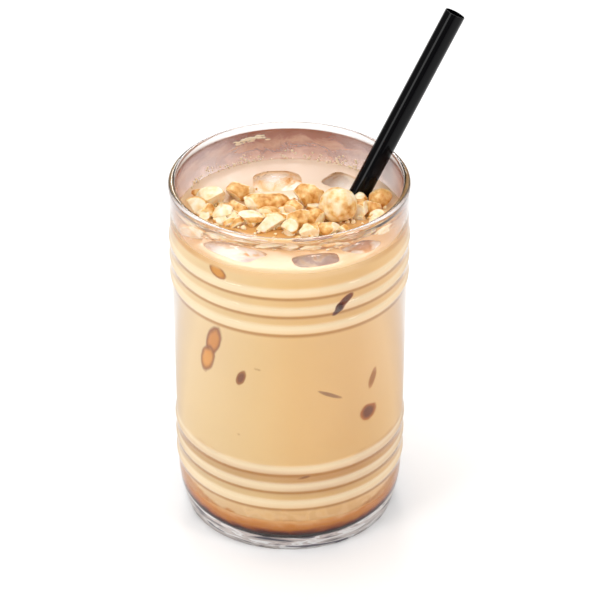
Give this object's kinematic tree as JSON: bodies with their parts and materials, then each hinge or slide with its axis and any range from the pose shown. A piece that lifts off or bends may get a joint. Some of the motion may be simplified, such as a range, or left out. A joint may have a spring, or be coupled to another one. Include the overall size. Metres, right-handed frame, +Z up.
{
  "type": "iced coffee",
  "caption": "Iced milk coffee in a ribbed clear tumbler, with ice, chopped peanuts on top, dark syrup below and a black straw.",
  "frame": {"origin": "centre of the tumbler's flat foot, on the table", "axes": "+Z up along the tumbler's axis; the straw leans towards +X and a little towards +Y"},
  "size_m": [0.0982, 0.0808, 0.1753],
  "materials": {
    "glass": "clear pressed soda-lime glass, fire-polished",
    "coffee": "opaque milk coffee, wet",
    "syrup": "dark amber syrup, wet",
    "straw": "black polypropylene, glossy",
    "nuts": "roasted peanut, broken faces pale",
    "ice": "clear melting ice, wet"
  },
  "bodies": {
    "root": {"glass": "glass", "coffee": "coffee", "syrup": "syrup", "straw": "straw", "chopped_nuts": "nuts", "peanut_kernel": "nuts", "ice_back": "ice", "ice_back_right": "ice", "ice_front_left": "ice", "ice_front": "ice", "ice_front_right": "ice"}
  },
  "joints": []
}
